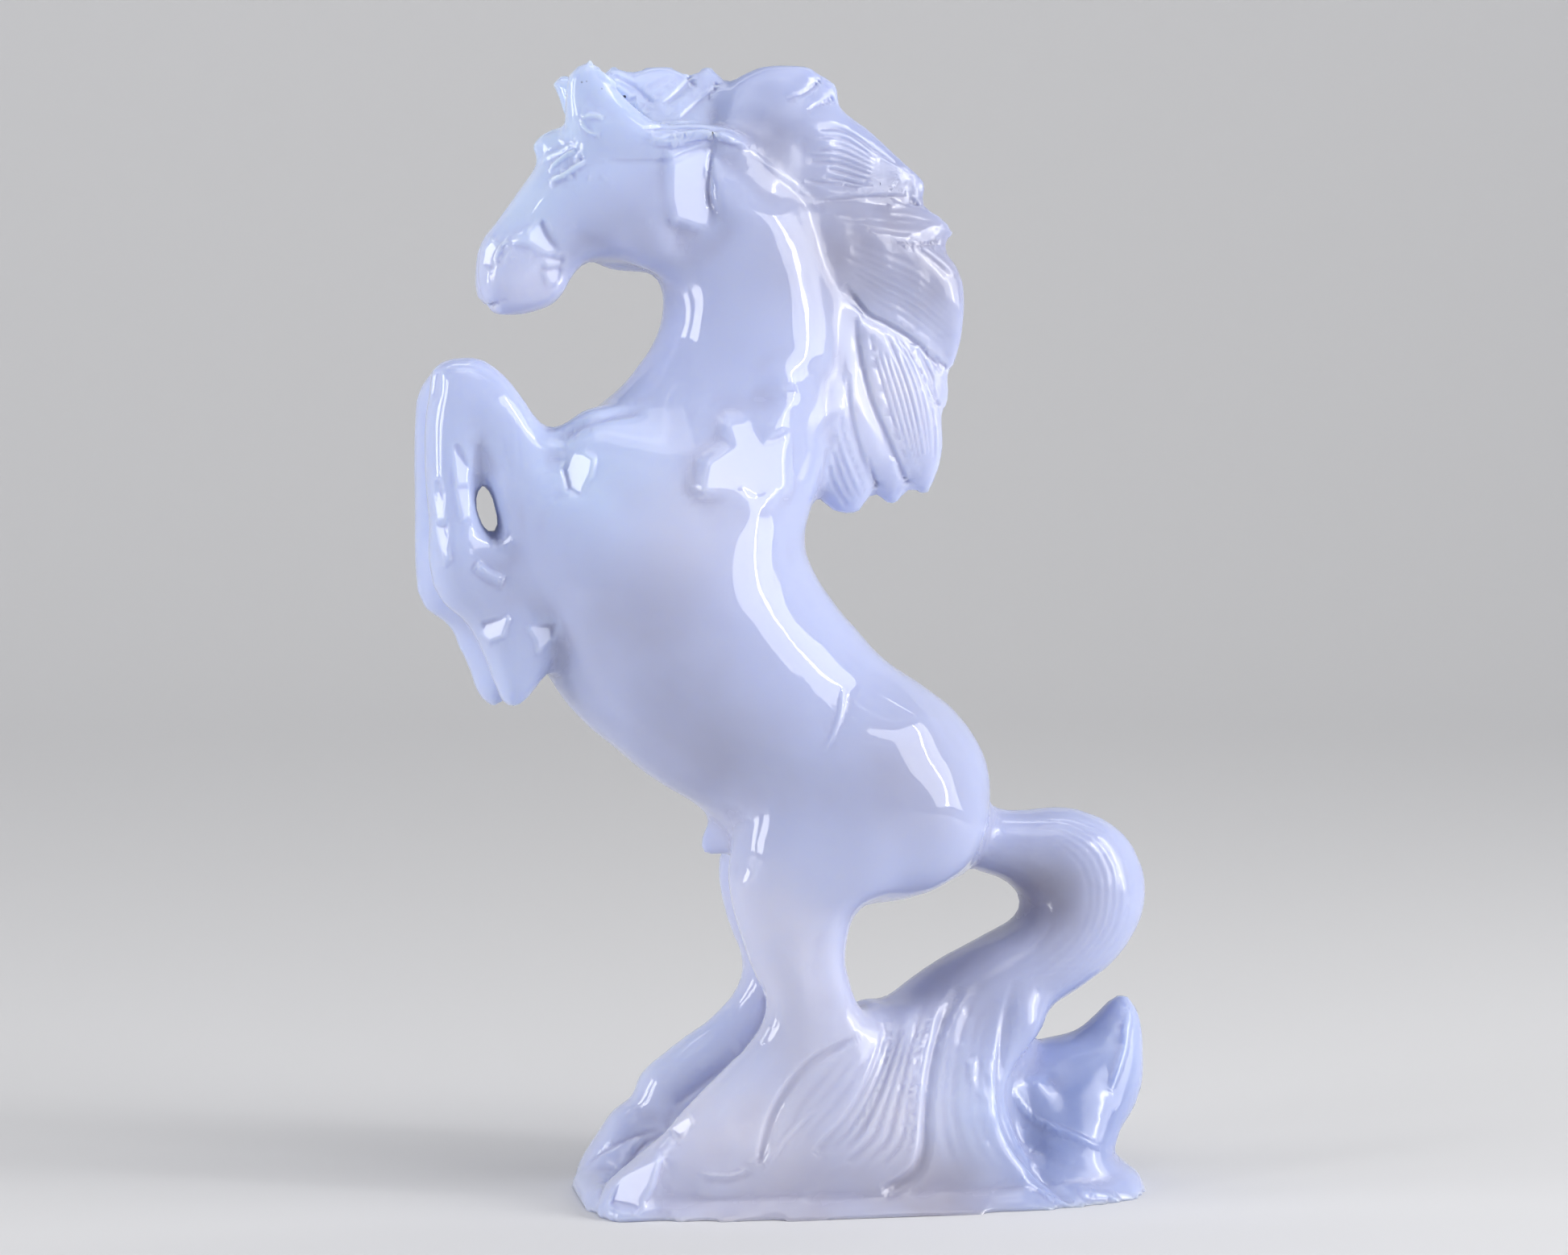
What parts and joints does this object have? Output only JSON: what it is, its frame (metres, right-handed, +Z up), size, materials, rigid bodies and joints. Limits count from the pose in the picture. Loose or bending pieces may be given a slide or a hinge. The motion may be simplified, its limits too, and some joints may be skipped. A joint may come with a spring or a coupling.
{
  "type": "carved stone horse figurine",
  "caption": "Rearing horse with a flowing mane and a sweeping tail, carved with its ground from one piece of pale stone.",
  "frame": {"origin": "middle of the ground's flat underside", "axes": "+Z up, -X the way the horse faces, -Y the side that the picture shows"},
  "size_m": [0.0913, 0.0369, 0.1396],
  "materials": {
    "chalcedony": "high polish, pale lavender-blue, translucent"
  },
  "bodies": {
    "root": {"horse": "chalcedony"}
  },
  "joints": []
}
